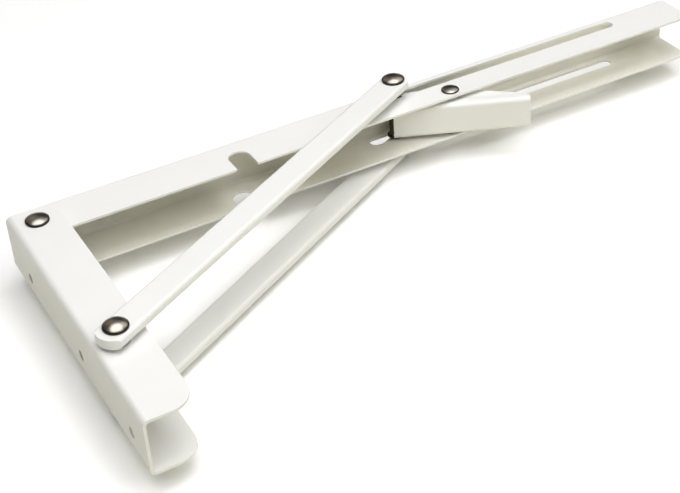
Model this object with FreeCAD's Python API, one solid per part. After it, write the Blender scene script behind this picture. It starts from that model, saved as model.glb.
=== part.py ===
import FreeCAD, Part
import math
import os

# Folding shelf bracket, opened out and lying on its side.
# The corner pivot stands upright, the shelf arm runs along +X and the wall channel along -Y.
# Sizes are in millimetres. Heights are measured from the bracket's middle plane while it is
# built, and the finished bracket is then set down on its lowest rivet heads.

V = FreeCAD.Vector
UP = V(0, 0, 1)

# Overall reach from the wall to the arm's free end
REACH = 400.0

# Wall channel, a U of sheet open towards the arm
WALL_WIDTH = 30.0
WALL_SHEET = 1.5
WALL_BEND = 3.2
WALL_BACK = 12.7
WALL_DEPTH = 25.4
WALL_HEAD = 11.5
WALL_LENGTH = 173.7
WALL_HEAD_CORNER = 8.0
WALL_FOOT_CORNER = 12.5

# Countersunk screw holes through the wall channel's back, measured down from the corner pivot
WALL_SCREW_RADIUS = 2.5
WALL_SCREW_SINK = 0.6
WALL_SCREW_DROPS = (16.6, 85.0, 144.4)
WALL_SCREW_OFFSET = -4.0

# Shelf arm, a smaller U of sheet that folds down into the wall channel
ARM_WIDTH = 25.8
ARM_SHEET = 1.4
ARM_BEND = 2.3
SHELF_FACE = 16.2
ARM_DEPTH = 26.3
ARM_HEEL = 9.0
ARM_END_CORNER = 7.5
SHELF_SCREW_RADIUS = 2.5
SHELF_SCREW_FIRST = 40.0
SHELF_SCREW_PITCH = 140.0
SHELF_SCREW_COUNT = 3

# Slots in the arm's flanges, in which the sliding pin runs
SLOT_LINE = 8.15
PIN_RADIUS = 3.25
SLOT_PLAY = 0.05
SLOT_INNER_SPARE = 12.4
SLOT_OUTER_SPARE = 0.6

# Notch that lets the arm close over the strut pivot's spacer
NOTCH_WIDTH = 11.6
NOTCH_PAST_SPACER = 2.56

# Strut pivot on the wall channel, and the sliding pin's place with the bracket open
STRUT_PIVOT_IN = 1.06
STRUT_PIVOT_DROP = 107.74
PIN_REACH = 203.45

# Struts, one flat bar on each side
STRUT_GAP = 2.41
STRUT_WIDTH = 15.2
STRUT_THICK = 5.0
STRUT_EDGE = 1.8
STRUT_FOOT_RADIUS = 9.5
STRUT_TIP_RADIUS = 7.9

# Rivets
SHANK_RADIUS = 3.2
HEAD_RADIUS = 6.0
HEAD_RIM = 1.1
HEAD_DOME = 2.0
STRUT_HEAD_DOME = 2.6
SPACER_RADIUS = 4.0
WASHER_RADIUS = 5.6
TURN_PLAY = 0.05
FACE_PLAY = 0.1

# Release lever, folded from thin sheet into a U and pivoted between the arm's flanges
LEVER_PIVOT_AHEAD = 27.95
LEVER_PIVOT_LINE = -3.8
LEVER_WIDTH = 18.4
LEVER_SHEET = 1.5
LEVER_BEND = 2.4
LEVER_ANGLE = -24.4
LEVER_WEB = 9.3
LEVER_CATCH_LENGTH = 31.8
LEVER_HANDLE_LENGTH = 41.9
LEVER_STOP_RADIUS = 26.6
LEVER_NOSE_HEIGHT = 7.5
LEVER_POCKET_IN = -3.0
LEVER_POCKET_OUT = -5.6
# Upper edge of the lever's sides from the nose to the end of the handle, from its pivot
LEVER_EDGE = ((-17.8, 8.4), (-12.6, 7.4), (15.8, 3.3), (27.3, 0.2), (37.5, -3.3))
LEVER_HANDLE_TIP = -5.8
LEVER_SHANK_RADIUS = 2.4
LEVER_HEAD_RADIUS = 4.8
LEVER_HEAD_RIM = 0.6
LEVER_HEAD_DOME = 1.4
LEVER_WASHER_RADIUS = 4.9

# Collar that keeps each half of the sliding pin in its slot
COLLAR_RADIUS = 4.4
COLLAR_THICK = 0.85

# Sizes that follow from the ones above
wall_half = WALL_WIDTH / 2
wall_inner = wall_half - WALL_SHEET
wall_mouth = WALL_DEPTH - WALL_BACK
wall_foot = WALL_LENGTH - WALL_HEAD
arm_half = ARM_WIDTH / 2
arm_inner = arm_half - ARM_SHEET
arm_end = REACH - WALL_BACK
arm_edge = SHELF_FACE - ARM_DEPTH
strut_in = wall_half + STRUT_GAP
strut_out = strut_in + STRUT_THICK
lever_half = LEVER_WIDTH / 2
lowest = strut_out + HEAD_RIM + STRUT_HEAD_DOME
hole_radius = SHANK_RADIUS + TURN_PLAY
lever_hole_radius = LEVER_SHANK_RADIUS + TURN_PLAY

corner = V(0, 0, 0)
strut_pivot = V(-STRUT_PIVOT_IN, -STRUT_PIVOT_DROP, 0)
pin_place = V(PIN_REACH, SLOT_LINE, 0)
lever_pivot = V(PIN_REACH + LEVER_PIVOT_AHEAD, LEVER_PIVOT_LINE, 0)

# The folded arm points down the wall channel, so the pin then lies on the slot's line beside it
strut_length = (pin_place - strut_pivot).Length
folded_reach = STRUT_PIVOT_DROP + math.sqrt(strut_length**2 - (SLOT_LINE + STRUT_PIVOT_IN)**2)
open_angle = math.degrees(math.atan2(pin_place.y - strut_pivot.y, pin_place.x - strut_pivot.x))
folded_angle = math.degrees(math.atan2(STRUT_PIVOT_DROP - folded_reach, SLOT_LINE + STRUT_PIVOT_IN))

# The bracket's own origin is under the middle of its outline
origin = V(arm_end / 2 - WALL_BACK / 2, (SHELF_FACE - wall_foot) / 2, -lowest)


def cylinder(radius, low, high, centre):
    return Part.makeCylinder(radius, high - low, centre + V(0, 0, low))


def rounded_outline(corners):
    # Closed outline through (x, y, radius) corners, each radius set in as a tangent arc
    edges = []
    ends = []
    count = len(corners)
    for i in range(count):
        here = V(corners[i][0], corners[i][1], 0)
        radius = corners[i][2]
        if radius == 0:
            ends.append((here, here))
            continue
        before = V(corners[i - 1][0], corners[i - 1][1], 0)
        after = V(corners[(i + 1) % count][0], corners[(i + 1) % count][1], 0)
        to_before = (before - here).normalize()
        to_after = (after - here).normalize()
        half = to_before.getAngle(to_after) / 2
        setback = radius / math.tan(half)
        start = here + to_before * setback
        end = here + to_after * setback
        inward = (to_before + to_after).normalize()
        middle = here + inward * (radius / math.sin(half) - radius)
        edges.append(Part.Arc(start, middle, end).toShape())
        ends.append((start, end))
    for i in range(count):
        start = ends[i][1]
        end = ends[(i + 1) % count][0]
        edges.append(Part.makeLine(start, end))
    return Part.Wire(Part.__sortEdges__(edges))


def plate(corners, low, high):
    face = Part.Face(rounded_outline(corners))
    face.translate(V(0, 0, low))
    return face.extrude(V(0, 0, high - low))


def channel_section(half, depth, sheet, bend):
    # U section with its back on y = 0 and its open side towards +y
    fold = bend - sheet
    outer = [(-half, 0, bend), (half, 0, bend), (half, depth, 0), (half - sheet, depth, 0)]
    inner = [(half - sheet, sheet, fold), (sheet - half, sheet, fold), (sheet - half, depth, 0)]
    return Part.Face(rounded_outline(outer + inner + [(-half, depth, 0)]))


def stadium(x_start, x_end, line, radius, low, high):
    # Straight slot with round ends, centred on the two given places
    bar = Part.makeBox(x_end - x_start, 2 * radius, high - low, V(x_start, line - radius, low))
    first = cylinder(radius, low, high, V(x_start, line, 0))
    last = cylinder(radius, low, high, V(x_end, line, 0))
    return bar.fuse([first, last])


def rivet(centre, shank, seat, head, rim, dome):
    # Shank with a domed head at each end, turned about its own axis
    top = seat + rim + dome
    shoulder = seat + rim
    middle = head / 2
    ball = (head**2 + dome**2) / (2 * dome)
    crown = top - ball + math.sqrt(ball**2 - middle**2)
    profile = Part.Wire([
        Part.makeLine(V(0, 0, -top), V(0, 0, top)),
        Part.Arc(V(0, 0, top), V(middle, 0, crown), V(head, 0, shoulder)).toShape(),
        Part.makeLine(V(head, 0, shoulder), V(head, 0, seat)),
        Part.makeLine(V(head, 0, seat), V(shank, 0, seat)),
        Part.makeLine(V(shank, 0, seat), V(shank, 0, -seat)),
        Part.makeLine(V(shank, 0, -seat), V(head, 0, -seat)),
        Part.makeLine(V(head, 0, -seat), V(head, 0, -shoulder)),
        Part.Arc(V(head, 0, -shoulder), V(middle, 0, -crown), V(0, 0, -top)).toShape(),
    ])
    body = Part.Face(profile).revolve(V(0, 0, 0), UP, 360)
    body.translate(centre)
    return body


def ring(centre, radius, hole, low, high):
    return cylinder(radius, low, high, centre).cut(cylinder(hole, low, high, centre))


def mirrored(shape):
    # The same piece on the bracket's lower side
    return shape.mirror(V(0, 0, 0), UP)


def make_wall_channel():
    section = channel_section(wall_half, WALL_DEPTH, WALL_SHEET, WALL_BEND)
    blank = section.extrude(V(0, 0, WALL_LENGTH))
    # Stand the section up: its length along -Y, its open side towards +X
    blank.rotate(corner, V(1, 0, 0), 90)
    blank.rotate(corner, V(0, 1, 0), 90)
    blank.translate(V(-WALL_BACK, WALL_HEAD, 0) - V(blank.BoundBox.XMin, blank.BoundBox.YMax, 0))
    side = plate([
        (-WALL_BACK, WALL_HEAD, 0),
        (wall_mouth, WALL_HEAD, WALL_HEAD_CORNER),
        (wall_mouth, -wall_foot, WALL_FOOT_CORNER),
        (-WALL_BACK, -wall_foot, 0),
    ], -wall_half, wall_half)
    shape = blank.common(side)
    shape = shape.cut(cylinder(SHANK_RADIUS, -wall_half, wall_half, corner))
    shape = shape.cut(cylinder(SHANK_RADIUS, -wall_half, wall_half, strut_pivot))
    for drop in WALL_SCREW_DROPS:
        mouth = V(-WALL_BACK, -drop, WALL_SCREW_OFFSET)
        shape = shape.cut(Part.makeCylinder(WALL_SCREW_RADIUS, WALL_SHEET, mouth, V(1, 0, 0)))
        sink = V(WALL_SHEET - WALL_SCREW_SINK - WALL_BACK, -drop, WALL_SCREW_OFFSET)
        wide = WALL_SCREW_RADIUS + WALL_SCREW_SINK
        shape = shape.cut(Part.makeCone(WALL_SCREW_RADIUS, wide, WALL_SCREW_SINK, sink, V(1, 0, 0)))
    return shape


def make_arm_channel():
    section = channel_section(arm_half, ARM_DEPTH, ARM_SHEET, ARM_BEND)
    blank = section.extrude(V(0, 0, arm_end + ARM_HEEL))
    # Lay the section down: its length along +X, its open side towards -Y
    blank.rotate(corner, UP, 180)
    blank.rotate(corner, V(0, 1, 0), 90)
    blank.translate(V(-ARM_HEEL, SHELF_FACE, 0) - V(blank.BoundBox.XMin, blank.BoundBox.YMax, 0))
    side = plate([
        (-ARM_HEEL, SHELF_FACE, 0),
        (arm_end, SHELF_FACE, 0),
        (arm_end, arm_edge, ARM_END_CORNER),
        (-ARM_HEEL, arm_edge, ARM_HEEL),
    ], -arm_half, arm_half)
    shape = blank.common(side)
    slot = PIN_RADIUS + SLOT_PLAY
    inner_end = PIN_REACH - SLOT_INNER_SPARE
    outer_end = folded_reach + SLOT_OUTER_SPARE
    shape = shape.cut(stadium(inner_end, outer_end, SLOT_LINE, slot, -arm_half, arm_half))
    # The notch runs in from the flanges' free edges and ends in a half round
    notch = NOTCH_WIDTH / 2
    depth = SPACER_RADIUS - STRUT_PIVOT_IN + NOTCH_PAST_SPACER - notch
    below = arm_edge - notch
    gap = Part.makeBox(NOTCH_WIDTH, depth - below, ARM_WIDTH, V(STRUT_PIVOT_DROP - notch, below, -arm_half))
    shape = shape.cut(gap.fuse(cylinder(notch, -arm_half, arm_half, V(STRUT_PIVOT_DROP, depth, 0))))
    shape = shape.cut(cylinder(hole_radius, -arm_half, arm_half, corner))
    shape = shape.cut(cylinder(LEVER_SHANK_RADIUS, -arm_half, arm_half, lever_pivot))
    for i in range(SHELF_SCREW_COUNT):
        mouth = V(SHELF_SCREW_FIRST + i * SHELF_SCREW_PITCH, SHELF_FACE, 0)
        shape = shape.cut(Part.makeCylinder(SHELF_SCREW_RADIUS, ARM_SHEET, mouth, V(0, -1, 0)))
    return shape


def make_strut():
    # Rounded bar whose ends are arcs about its two pivots
    length = STRUT_FOOT_RADIUS + strut_length + STRUT_TIP_RADIUS
    half = STRUT_WIDTH / 2
    section = Part.Face(rounded_outline([
        (-half, strut_in, STRUT_EDGE),
        (half, strut_in, STRUT_EDGE),
        (half, strut_out, STRUT_EDGE),
        (-half, strut_out, STRUT_EDGE),
    ]))
    bar = section.extrude(V(0, 0, length))
    bar.rotate(corner, V(1, 0, 0), 90)
    bar.rotate(corner, UP, 90)
    bar.translate(V(-STRUT_FOOT_RADIUS - bar.BoundBox.XMin, 0, 0))
    near = cylinder(STRUT_FOOT_RADIUS, strut_in, strut_out, corner)
    far = cylinder(STRUT_TIP_RADIUS, strut_in, strut_out, V(strut_length, 0, 0))
    span = Part.makeBox(strut_length, STRUT_WIDTH, STRUT_THICK, V(0, -half, strut_in))
    bar = bar.common(near.fuse([far, span]))
    bar = bar.cut(cylinder(hole_radius, strut_in, strut_out, corner))
    bar = bar.cut(cylinder(SHANK_RADIUS, strut_in, strut_out, V(strut_length, 0, 0)))
    bar.rotate(corner, UP, open_angle)
    bar.translate(strut_pivot)
    return bar


def make_pin_end():
    # Head and short shank that hold the strut's outer end to the sliding pin
    whole = rivet(pin_place, SHANK_RADIUS, strut_out, HEAD_RADIUS, HEAD_RIM, HEAD_DOME)
    reach = HEAD_RADIUS
    keep = Part.makeBox(2 * reach, 2 * reach, lowest, V(PIN_REACH - reach, SLOT_LINE - reach, strut_in))
    return whole.common(keep)


def make_pin_half():
    # Half of the sliding pin: a barrel through the slot, with a collar inside the flange
    outer = strut_in - FACE_PLAY
    collar = arm_inner - TURN_PLAY
    barrel = cylinder(PIN_RADIUS, collar - COLLAR_THICK, outer, pin_place)
    return barrel.fuse(cylinder(COLLAR_RADIUS, collar - COLLAR_THICK, collar, pin_place)).removeSplitter()


def make_lever():
    # Sheet U with its back towards the open side of the arm, cut to the latch's outline
    crest = max(height for reach, height in LEVER_EDGE)
    section = channel_section(lever_half, LEVER_WEB + crest, LEVER_SHEET, LEVER_BEND)
    blank = section.extrude(V(0, 0, LEVER_CATCH_LENGTH + LEVER_HANDLE_LENGTH))
    blank.rotate(corner, V(0, 1, 0), 90)
    blank.translate(V(-LEVER_CATCH_LENGTH - blank.BoundBox.XMin, -LEVER_WEB, 0))
    # The catch face is an arc about the lever's own pivot, so it slides off the pin
    back = V(-LEVER_CATCH_LENGTH, -LEVER_WEB, 0)
    lip = V(-LEVER_CATCH_LENGTH, LEVER_POCKET_OUT, 0)
    root = V(-math.sqrt(LEVER_STOP_RADIUS**2 - LEVER_POCKET_IN**2), LEVER_POCKET_IN, 0)
    nose = V(-math.sqrt(LEVER_STOP_RADIUS**2 - LEVER_NOSE_HEIGHT**2), LEVER_NOSE_HEIGHT, 0)
    tip = V(LEVER_HANDLE_LENGTH, LEVER_HANDLE_TIP, 0)
    heel = V(LEVER_HANDLE_LENGTH, -LEVER_WEB, 0)
    catch = Part.Arc(root, V(-LEVER_STOP_RADIUS, 0, 0), nose).toShape()
    upper = Part.BSplineCurve()
    upper.interpolate([nose] + [V(reach, height, 0) for reach, height in LEVER_EDGE] + [tip])
    outline = [Part.makeLine(back, lip), Part.makeLine(lip, root), catch, upper.toShape()]
    outline += [Part.makeLine(tip, heel), Part.makeLine(heel, back)]
    side = Part.Face(Part.Wire(outline))
    side.translate(V(0, 0, -lever_half))
    shape = blank.common(side.extrude(V(0, 0, LEVER_WIDTH)))
    shape = shape.cut(cylinder(lever_hole_radius, -lever_half, lever_half, corner))
    shape.rotate(corner, UP, LEVER_ANGLE)
    shape.translate(lever_pivot)
    return shape


nodes = {
    "wall_channel": make_wall_channel(),
    "arm_channel": make_arm_channel(),
    "release_lever": make_lever(),
    "corner_rivet": rivet(corner, SHANK_RADIUS, wall_half, HEAD_RADIUS, HEAD_RIM, HEAD_DOME),
    "strut_rivet": rivet(strut_pivot, SHANK_RADIUS, strut_out + FACE_PLAY, HEAD_RADIUS, HEAD_RIM,
                         STRUT_HEAD_DOME - FACE_PLAY),
    "lever_rivet": rivet(lever_pivot, LEVER_SHANK_RADIUS, arm_half, LEVER_HEAD_RADIUS,
                         LEVER_HEAD_RIM, LEVER_HEAD_DOME),
    "corner_spacer": ring(corner, SPACER_RADIUS, hole_radius, -arm_inner, arm_inner),
    "strut_spacer": ring(strut_pivot, SPACER_RADIUS, SHANK_RADIUS, -wall_inner, wall_inner),
}
pairs = {
    "strut": make_strut(),
    "pin_head": make_pin_end(),
    "sliding_pin": make_pin_half(),
    "corner_washer": ring(corner, WASHER_RADIUS, SHANK_RADIUS, arm_half + FACE_PLAY, wall_inner),
    "strut_washer": ring(strut_pivot, WASHER_RADIUS, SHANK_RADIUS, wall_half, strut_in - FACE_PLAY),
    "lever_washer": ring(lever_pivot, LEVER_WASHER_RADIUS, LEVER_SHANK_RADIUS,
                         lever_half + FACE_PLAY, arm_inner),
}
for name, shape in pairs.items():
    nodes[name + "_upper"] = shape
    nodes[name + "_lower"] = mirrored(shape)

os.makedirs("parts", exist_ok=True)
print("strut turns", round(open_angle - folded_angle, 4), "pin runs", round(folded_reach - PIN_REACH, 4))
for name, shape in nodes.items():
    shape.translate(-origin)
    shape.exportStep(os.path.join("parts", name + ".step"))
    box = shape.BoundBox
    print(name, shape.isValid(), round(shape.Volume, 1), [round(v, 2) for v in (
        box.XMin, box.YMin, box.ZMin, box.XMax, box.YMax, box.ZMax)])
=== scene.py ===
import math

import bpy
import numpy as np
from mathutils import Matrix, Vector


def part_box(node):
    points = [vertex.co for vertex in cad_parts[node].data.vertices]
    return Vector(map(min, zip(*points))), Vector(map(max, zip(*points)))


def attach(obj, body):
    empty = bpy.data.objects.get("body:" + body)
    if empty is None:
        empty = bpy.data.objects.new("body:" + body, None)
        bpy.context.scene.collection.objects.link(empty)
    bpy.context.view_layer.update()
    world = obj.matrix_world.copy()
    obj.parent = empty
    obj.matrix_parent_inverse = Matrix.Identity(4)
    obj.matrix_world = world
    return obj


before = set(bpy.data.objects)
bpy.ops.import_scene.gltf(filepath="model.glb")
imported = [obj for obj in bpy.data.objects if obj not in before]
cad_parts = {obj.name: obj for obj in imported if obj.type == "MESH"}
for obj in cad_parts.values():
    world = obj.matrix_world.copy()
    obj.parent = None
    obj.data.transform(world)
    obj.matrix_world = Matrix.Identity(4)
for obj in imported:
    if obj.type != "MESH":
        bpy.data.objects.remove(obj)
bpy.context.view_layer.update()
print("stage: bracket loaded,", len(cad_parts), "pieces")


# small helpers

def addNode(tree, kind, **values):
    node = tree.nodes.new(kind)
    for name, value in values.items():
        if hasattr(node, name) and name not in node.inputs:
            setattr(node, name, value)
        else:
            node.inputs[name].default_value = value
    return node


def addObject(name, data):
    thing = bpy.data.objects.new(name, data)
    bpy.context.scene.collection.objects.link(thing)
    return thing


def newMaterial(name):
    material = bpy.data.materials.new(name)
    material.use_nodes = True
    tree = material.node_tree
    tree.nodes.clear()
    output = tree.nodes.new("ShaderNodeOutputMaterial")
    return material, tree, output


def newShader(name):
    material, tree, output = newMaterial(name)
    shader = tree.nodes.new("ShaderNodeBsdfPrincipled")
    tree.links.new(shader.outputs["BSDF"], output.inputs["Surface"])
    return material, tree, shader


def compute(tree, operation, *values):
    # each value is another node's output or a constant
    node = addNode(tree, "ShaderNodeMath", operation=operation)
    for socket, value in zip(node.inputs, values):
        if isinstance(value, bpy.types.NodeSocket):
            tree.links.new(value, socket)
        else:
            socket.default_value = value
    return node.outputs["Value"]


def rampBetween(tree, source, start, end, low=0.0, high=1.0, kind="SMOOTHSTEP"):
    ramp = addNode(tree, "ShaderNodeMapRange", interpolation_type=kind)
    settings = {"From Min": start, "From Max": end, "To Min": low, "To Max": high}
    for name, value in settings.items():
        ramp.inputs[name].default_value = value
    tree.links.new(source, ramp.inputs["Value"])
    return ramp.outputs["Result"]


def lengthOf(tree, vector):
    length = addNode(tree, "ShaderNodeVectorMath", operation="LENGTH")
    tree.links.new(vector, length.inputs[0])
    return length.outputs["Value"]


def mixColours(tree, factor, first, second):
    # each colour is another node's output or a constant
    mix = addNode(tree, "ShaderNodeMix", data_type="RGBA")
    for end, colour in (("A", first), ("B", second)):
        if isinstance(colour, bpy.types.NodeSocket):
            tree.links.new(colour, mix.inputs[end])
        else:
            mix.inputs[end].default_value = (*colour, 1)
    tree.links.new(factor, mix.inputs["Factor"])
    return mix.outputs["Result"]


def objectPlace(tree):
    # the piece's own coordinates, so that patterns stay put in every pose
    return tree.nodes.new("ShaderNodeTexCoord").outputs["Object"]


def objectNoise(tree, scale, detail, roughness=0.5):
    noise = addNode(tree, "ShaderNodeTexNoise", Scale=scale, Detail=detail, Roughness=roughness)
    tree.links.new(objectPlace(tree), noise.inputs["Vector"])
    return noise.outputs["Fac"]


noiseSpan = (0.25, 0.75)  # nearly all values of a noise lie in here


def spreadNoise(tree, noise, low=0.0, high=1.0):
    return rampBetween(tree, noise, *noiseSpan, low, high, "LINEAR")


def addBump(tree, shader, height, strength, distance):
    bump = addNode(tree, "ShaderNodeBump", Strength=strength, Distance=distance)
    tree.links.new(height, bump.inputs["Height"])
    tree.links.new(bump.outputs["Normal"], shader.inputs["Normal"])


def layOver(tree, factor, colour):
    # another colour over the material's own one, where the factor is 1
    shader = next(node for node in tree.nodes if node.type == "BSDF_PRINCIPLED")
    base = shader.inputs["Base Color"]
    own = base.links[0].from_socket
    tree.links.new(mixColours(tree, factor, own, colour), base)


# powder coat

powderCoat = {
    "paler": (0.864, 0.861, 0.842),
    "deeper": (0.842, 0.838, 0.814),
    "cloudScale": 38.0,
    "cloudDetail": 4.0,
    "grainScale": 332.5,
    "grainDetail": 3.0,
    "roughLow": 0.34,
    "roughHigh": 0.46,
    # orange peel: broad soft waves with finer ones on them
    "peelScale": 950.0,
    "peelDetail": 2.5,
    "peelRoughness": 0.45,
    "peelStrength": 0.55,
    "peelHeight": 0.00003,
    "refraction": 1.48,
}
# painted highlight: the coat on the softened edges is painted whiter, where the edges catch the
# light
edgeHighlightCoat = dict(powderCoat, paler=(0.905, 0.90, 0.88), deeper=(0.885, 0.88, 0.855))


def makePowderCoat(name, look):
    material, tree, shader = newShader(name)
    clouds = objectNoise(tree, look["cloudScale"], look["cloudDetail"])
    colour = mixColours(tree, spreadNoise(tree, clouds), look["paler"], look["deeper"])
    tree.links.new(colour, shader.inputs["Base Color"])
    grain = objectNoise(tree, look["grainScale"], look["grainDetail"])
    rough = spreadNoise(tree, grain, look["roughLow"], look["roughHigh"])
    tree.links.new(rough, shader.inputs["Roughness"])
    peel = objectNoise(tree, look["peelScale"], look["peelDetail"], look["peelRoughness"])
    addBump(tree, shader, peel, look["peelStrength"], look["peelHeight"])
    shader.inputs["IOR"].default_value = look["refraction"]
    return material


# painted shade: the coat inside the arm is painted darker and warmer, from the corner up to the
# lever, where shade falls inside the channel

insideArmShade = {
    "lightShade": (0.862, 0.850, 0.785),
    "deepShade": (0.70, 0.69, 0.605),
    "sheet": 0.0012,
    "deepShadeUpTo": -0.02,
    "lightShadeFrom": 0.06,
    "rim": 0.004,
    "root": 0.022,
    "deepShadeAtRoot": 0.40,
    "patchScale": 24.0,
    "patchDetail": 3.0,
    "patchShift": 0.12,
}


def makeArmCoatWithPaintedShade(outside, inside):
    material = makePowderCoat("powderCoat_arm_paintedShade", outside)
    tree = material.node_tree
    low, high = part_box("arm_channel")
    split = tree.nodes.new("ShaderNodeSeparateXYZ")
    tree.links.new(objectPlace(tree), split.inputs["Vector"])
    x, y, z = (split.outputs[axis] for axis in "XYZ")
    # inside: nearer to the arm's middle plane than its flanges, and in front of its web
    offMiddle = compute(tree, "ABSOLUTE", compute(tree, "SUBTRACT", z, (low[2] + high[2]) / 2))
    between = compute(tree, "LESS_THAN", offMiddle, (high[2] - low[2]) / 2 - inside["sheet"])
    before = compute(tree, "LESS_THAN", y, high[1] - inside["sheet"])
    within = compute(tree, "MULTIPLY", between, before)
    depth = rampBetween(tree, y, low[1] + inside["rim"], low[1] + inside["root"],
                        1.0, inside["deepShadeAtRoot"])
    # a noise of mean one half moves the border between the deeper and the lighter painted shade to
    # and fro
    patches = objectNoise(tree, inside["patchScale"], inside["patchDetail"])
    shifted = compute(tree, "MULTIPLY_ADD", patches, inside["patchShift"], x)
    meanShift = inside["patchShift"] / 2
    along = rampBetween(tree, shifted, inside["deepShadeUpTo"] + meanShift,
                        inside["lightShadeFrom"] + meanShift, 1.0, 0.0)
    paintedShadeShare = compute(tree, "MULTIPLY", depth, along)
    # the painted shade is laid over the coat inside the arm
    layOver(tree, within, mixColours(tree, paintedShadeShare, inside["lightShade"], inside["deepShade"]))
    return material


# painted shade: the walls of the wall channel's screw holes are painted darker, where shade falls
# inside the holes

screwHoleShade = {
    "holeShade": (0.50, 0.475, 0.415),
    "radius": 0.00285,
    "along": (0.0564, -0.0120, -0.0714),
    "level": 0.02211,
}


def makeWallCoatWithShadedHoles(outside, shadedHoles):
    material = makePowderCoat("powderCoat_wall_shadedHoles", outside)
    tree = material.node_tree
    flat = addNode(tree, "ShaderNodeMapping", Scale=(0, 1, 1))
    tree.links.new(objectPlace(tree), flat.inputs["Vector"])
    gaps = []
    for y in shadedHoles["along"]:
        gap = addNode(tree, "ShaderNodeVectorMath", operation="DISTANCE")
        gap.inputs[1].default_value = (0, y, shadedHoles["level"])
        tree.links.new(flat.outputs["Vector"], gap.inputs[0])
        gaps.append(gap.outputs["Value"])
    nearest = gaps[0]
    for gap in gaps[1:]:
        nearest = compute(tree, "MINIMUM", nearest, gap)
    # the painted hole shade is laid over the coat within the holes' radius
    layOver(tree, compute(tree, "LESS_THAN", nearest, shadedHoles["radius"]), shadedHoles["holeShade"])
    return material


# plated and bare metals

platedGrain = {
    "cloudDetail": 5.0,
    "scuffDetail": 3.0,
    "noiseRoughness": 0.6,
    "scuffStrength": 0.5,
}
blackNickel = dict(
    platedGrain,
    base=(0.48, 0.437, 0.382),
    stain=(0.38, 0.342, 0.29),
    cloudScale=260.0,
    scuffScale=1400.0,
    scuffHeight=0.000006,
    roughLow=0.28,
    roughHigh=0.37,
    # painted shade round the rim of the head: its colour, and from and to shares of the radius
    paintedRimShade=(0.045, 0.038, 0.033),
    paintedRimShadeFrom=0.85,
    paintedRimShadeTo=0.98,
)
# dark steel for the sliding pin, its own dark colour made darker still as painted shade for the
# shadowed gap it stands in between the flanges
darkSteelAndShade = dict(
    platedGrain,
    base=(0.11, 0.10, 0.08),
    stain=(0.055, 0.05, 0.038),
    cloudScale=300.0,
    scuffScale=1600.0,
    scuffHeight=0.000006,
    roughLow=0.34,
    roughHigh=0.48,
)
zincPlate = dict(
    platedGrain,
    base=(0.46, 0.455, 0.44),
    stain=(0.33, 0.325, 0.31),
    cloudScale=320.0,
    scuffScale=1800.0,
    scuffHeight=0.000008,
    roughLow=0.28,
    roughHigh=0.44,
)


def makePlatedMetal(name, look):
    material, tree, shader = newShader(name)
    shader.inputs["Metallic"].default_value = 1.0
    clouds = objectNoise(tree, look["cloudScale"], look["cloudDetail"], look["noiseRoughness"])
    colour = mixColours(tree, spreadNoise(tree, clouds), look["base"], look["stain"])
    tree.links.new(colour, shader.inputs["Base Color"])
    rough = spreadNoise(tree, clouds, look["roughLow"], look["roughHigh"])
    tree.links.new(rough, shader.inputs["Roughness"])
    scuffs = objectNoise(tree, look["scuffScale"], look["scuffDetail"], look["noiseRoughness"])
    addBump(tree, shader, scuffs, look["scuffStrength"], look["scuffHeight"])
    return material


def makeRivetNickel(piece, look):
    # painted shade: a dark rim round the head, by the distance from the rivet's axis
    material = makePlatedMetal("blackNickel_" + piece, look)
    tree = material.node_tree
    low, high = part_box(piece)
    centreX, centreY = (low[0] + high[0]) / 2, (low[1] + high[1]) / 2
    radius = (high[0] - low[0]) / 2
    centred = addNode(tree, "ShaderNodeMapping", Location=(-centreX, -centreY, 0), Scale=(1, 1, 0))
    tree.links.new(objectPlace(tree), centred.inputs["Vector"])
    reach = lengthOf(tree, centred.outputs["Vector"])
    paintedRimShade = rampBetween(tree, reach, radius * look["paintedRimShadeFrom"], radius * look["paintedRimShadeTo"])
    layOver(tree, paintedRimShade, look["paintedRimShade"])
    return material


coat = makePowderCoat("powderCoat", powderCoat)
paintedHighlightEdge = makePowderCoat("powderCoat_edgeHighlight", edgeHighlightCoat)
pinSteelAndShade = makePlatedMetal("darkSteelAndShade", darkSteelAndShade)
zinc = makePlatedMetal("zincPlate", zincPlate)

finishes = {
    "wall_channel": makeWallCoatWithShadedHoles(powderCoat, screwHoleShade),
    "arm_channel": makeArmCoatWithPaintedShade(powderCoat, insideArmShade),
    "release_lever": coat,
    "strut_upper": coat,
    "strut_lower": coat,
    "sliding_pin_upper": pinSteelAndShade,
    "sliding_pin_lower": pinSteelAndShade,
}
for name in ("corner_rivet", "strut_rivet", "lever_rivet", "pin_head_upper"):
    finishes[name] = makeRivetNickel(name, blackNickel)
finishes["pin_head_lower"] = finishes["pin_head_upper"]  # both are on one axis

for name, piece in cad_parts.items():
    for slot in piece.material_slots:
        slot.material = finishes.get(name, zinc)
print("stage: finishes set on", len(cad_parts), "pieces")


# softened edges, as the coat leaves them on cut and folded sheet

edgeSoftness = {
    "wall_channel": 0.00040,
    "arm_channel": 0.00038,
    "release_lever": 0.00035,
    "strut_upper": 0.00040,
    "strut_lower": 0.00040,
    "corner_rivet": 0.00025,
    "strut_rivet": 0.00025,
    "lever_rivet": 0.00022,
    "pin_head_upper": 0.00025,
    "pin_head_lower": 0.00025,
}
edgeLook = {
    "weldWithin": 0.000002,
    "segments": 3,
    "sharperThan": 40,
    "paintedHighlightOn": ("wall_channel", "arm_channel", "release_lever", "strut_upper", "strut_lower"),
}


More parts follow.
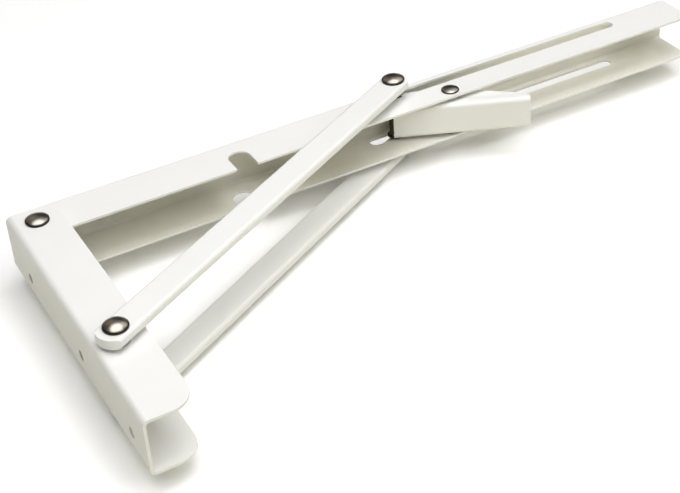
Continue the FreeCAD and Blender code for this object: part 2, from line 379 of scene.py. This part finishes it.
def softenEdges(piece, width, look):
    weld = piece.modifiers.new("weld", "WELD")
    weld.merge_threshold = look["weldWithin"]
    bevel = piece.modifiers.new("softEdge", "BEVEL")
    bevel.width = width
    bevel.segments = look["segments"]
    bevel.limit_method = "ANGLE"
    bevel.angle_limit = math.radians(look["sharperThan"])
    # on the coated pieces the softened edges get the whiter coat as a painted highlight
    if piece.name in look["paintedHighlightOn"]:
        piece.data.materials.append(paintedHighlightEdge)
        bevel.material = len(piece.material_slots) - 1


for name, width in edgeSoftness.items():
    softenEdges(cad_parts[name], width, edgeLook)
print("stage: edges softened on", len(edgeSoftness), "pieces")


# middle of the sliding pin, between the arm's flanges

pinMiddle = {
    "radius": 0.00325,
    "grooveDepth": 0.000024,
    "groovePitch": 0.0009,
    "around": 48,
    "along": 40,
    "sharperThan": 40,
}


def makePinMiddle(look):
    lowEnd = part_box("sliding_pin_lower")
    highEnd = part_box("sliding_pin_upper")
    centreX = (highEnd[0][0] + highEnd[1][0]) / 2
    centreY = (highEnd[0][1] + highEnd[1][1]) / 2
    around, along = look["around"], look["along"]
    # angle a runs round the bar, height h from collar to collar:
    # (centreX + r cos a, centreY + r sin a, h), and r dips by a hair where the tool left its
    # marks, r = radius - grooveDepth (1 + cos(2 pi h / groovePitch)) / 2
    a, h = np.meshgrid(np.linspace(0, 2 * np.pi, around, endpoint=False),
                       np.linspace(lowEnd[1][2], highEnd[0][2], along))
    wave = (1 + np.cos(2 * np.pi * h / look["groovePitch"])) / 2
    r = look["radius"] - look["grooveDepth"] * wave
    points = np.stack([centreX + r * np.cos(a), centreY + r * np.sin(a), h], axis=-1)
    row, column = np.meshgrid(np.arange(along - 1), np.arange(around), indexing="ij")
    first = row * around + column
    second = row * around + (column + 1) % around
    quads = np.stack([first, second, second + around, first + around], axis=-1)
    lowCap = list(range(around))[::-1]
    highCap = list(range(around * (along - 1), around * along))
    mesh = bpy.data.meshes.new("pinMiddle")
    mesh.from_pydata(points.reshape(-1, 3).tolist(), [],
                     quads.reshape(-1, 4).tolist() + [lowCap, highCap])
    mesh.shade_smooth()
    mesh.set_sharp_from_angle(angle=math.radians(look["sharperThan"]))
    mesh.materials.append(pinSteelAndShade)
    piece = addObject("pinMiddle", mesh)
    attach(piece, "pin")


makePinMiddle(pinMiddle)
print("stage: middle of the sliding pin made")


# floor

floorLook = {
    "height": 0.0,
    "halfSize": 6.0,
    "seen": (1.0, 1.0, 1.0),
    "bounced": (0.80, 0.78, 0.64),
    "glow": 0.05,  # the backdrop glows a little, so the rims of the shadows thin out
    "whiteFrom": 0.36,
    "whiteTo": 0.62,
}


def makeFloor(look):
    half, height = look["halfSize"], look["height"]
    corners = [(half * x, half * y, height) for x, y in ((-1, -1), (1, -1), (1, 1), (-1, 1))]
    mesh = bpy.data.meshes.new("floor")
    mesh.from_pydata(corners, [], [(0, 1, 2, 3)])
    floor = addObject("floor", mesh)
    material, tree, output = newMaterial("paleFloor")
    path = tree.nodes.new("ShaderNodeLightPath")
    seen = path.outputs["Is Camera Ray"]
    shown = compute(tree, "MAXIMUM", seen, path.outputs["Is Glossy Ray"])
    shown = compute(tree, "MAXIMUM", shown, path.outputs["Is Transmission Ray"])
    diffuse = tree.nodes.new("ShaderNodeBsdfDiffuse")
    colour = mixColours(tree, shown, look["bounced"], look["seen"])
    tree.links.new(colour, diffuse.inputs["Color"])
    glow = addNode(tree, "ShaderNodeEmission", Color=(1, 1, 1, 1))
    tree.links.new(compute(tree, "MULTIPLY", seen, look["glow"]), glow.inputs["Strength"])
    near = tree.nodes.new("ShaderNodeAddShader")
    tree.links.new(diffuse.outputs["BSDF"], near.inputs[0])
    tree.links.new(glow.outputs["Emission"], near.inputs[1])
    # away from the bracket the camera sees the floor as plain white
    plain = addNode(tree, "ShaderNodeEmission", Color=(1, 1, 1, 1), Strength=1.0)
    away = lengthOf(tree, objectPlace(tree))
    far = rampBetween(tree, away, look["whiteFrom"], look["whiteTo"])
    blend = tree.nodes.new("ShaderNodeMixShader")
    tree.links.new(compute(tree, "MULTIPLY", far, seen), blend.inputs["Fac"])
    tree.links.new(near.outputs["Shader"], blend.inputs[1])
    tree.links.new(plain.outputs["Emission"], blend.inputs[2])
    tree.links.new(blend.outputs["Shader"], output.inputs["Surface"])
    mesh.materials.append(material)


makeFloor(floorLook)
print("stage: floor laid")


# light

world = {
    "open": (0.035, 0.030, 0.018),
    "shade": (0.008, 0.007, 0.005),
    "shadeFrom": (0.80, 0.58, -0.15),  # the dark end of the studio, behind and to the right
    "fadeFrom": -0.25,
    "fadeTo": 0.75,
    "strength": 1.0,
}
lamps = {
    "keyOverhead": {
        "at": (-0.21, -0.25, 1.43), "size": 1.7, "power": 21.0, "colour": (0.99, 0.993, 1.0)},
    "keyCore": {
        "at": (0.38, 0.02, 1.42), "size": 0.8, "power": 3.4, "colour": (0.99, 0.993, 1.0)},
    "fillRight": {
        "at": (1.12, 0.24, 1.08), "size": 1.05, "power": 2.9, "colour": (1.0, 0.985, 0.94)},
    "fillFront": {
        "at": (0.40, -1.20, 1.10), "size": 1.0, "power": 7.3, "colour": (1.0, 0.995, 0.985)},
    "cardBack": {
        "at": (-0.35, 1.45, 0.95), "size": 1.1, "power": 0.9, "colour": (1.0, 0.96, 0.88)},
}


def makeWorld(look):
    surround = bpy.data.worlds.new("studio")
    surround.use_nodes = True
    tree = surround.node_tree
    background = tree.nodes["Background"]
    direction = tree.nodes.new("ShaderNodeTexCoord")
    along = addNode(tree, "ShaderNodeVectorMath", operation="DOT_PRODUCT")
    along.inputs[1].default_value = Vector(look["shadeFrom"]).normalized()
    tree.links.new(direction.outputs["Generated"], along.inputs[0])
    fade = rampBetween(tree, along.outputs["Value"], look["fadeFrom"], look["fadeTo"])
    graded = mixColours(tree, fade, look["open"], look["shade"])
    # behind the floor's edge the camera sees plain white
    path = tree.nodes.new("ShaderNodeLightPath")
    shown = mixColours(tree, path.outputs["Is Camera Ray"], graded, (1, 1, 1))
    tree.links.new(shown, background.inputs["Color"])
    background.inputs["Strength"].default_value = look["strength"]
    bpy.context.scene.world = surround


def makeLamp(name, look):
    data = bpy.data.lights.new(name, "AREA")
    data.shape = "DISK"
    data.size = look["size"]
    data.energy = look["power"]
    data.color = look["colour"]
    lamp = addObject(name, data)
    lamp.location = look["at"]
    lamp.rotation_euler = (-Vector(look["at"])).to_track_quat("-Z", "Y").to_euler()


makeWorld(world)
for name, look in lamps.items():
    makeLamp(name, look)
print("stage: lights set,", len(lamps), "lamps")


# camera, where the photograph was taken from

camera = {
    "at": (-0.327142, -0.544310, 0.451992),
    "forward": (0.3587501, 0.7375441, -0.57212505),
    "up": (0.31985861, 0.47868249, 0.81765124),
    "sensor": 36.0,
    "focal": 81.3436,
    "shiftX": 0.00241,
    "shiftY": -0.02460,
    "nearest": 0.01,
    "farthest": 50.0,
}


def makeCamera(look):
    data = bpy.data.cameras.new("camera")
    data.sensor_width = look["sensor"]
    data.sensor_fit = "HORIZONTAL"
    data.lens = look["focal"]
    data.shift_x = look["shiftX"]
    data.shift_y = look["shiftY"]
    data.clip_start = look["nearest"]
    data.clip_end = look["farthest"]
    eye = addObject("camera", data)
    forward = Vector(look["forward"]).normalized()
    right = forward.cross(Vector(look["up"])).normalized()
    up = right.cross(forward)
    turn = Matrix((right, up, -forward)).transposed().to_4x4()
    eye.matrix_world = Matrix.Translation(Vector(look["at"])) @ turn
    bpy.context.scene.camera = eye


makeCamera(camera)
bpy.context.scene.view_settings.view_transform = "Standard"
print("stage: camera placed")
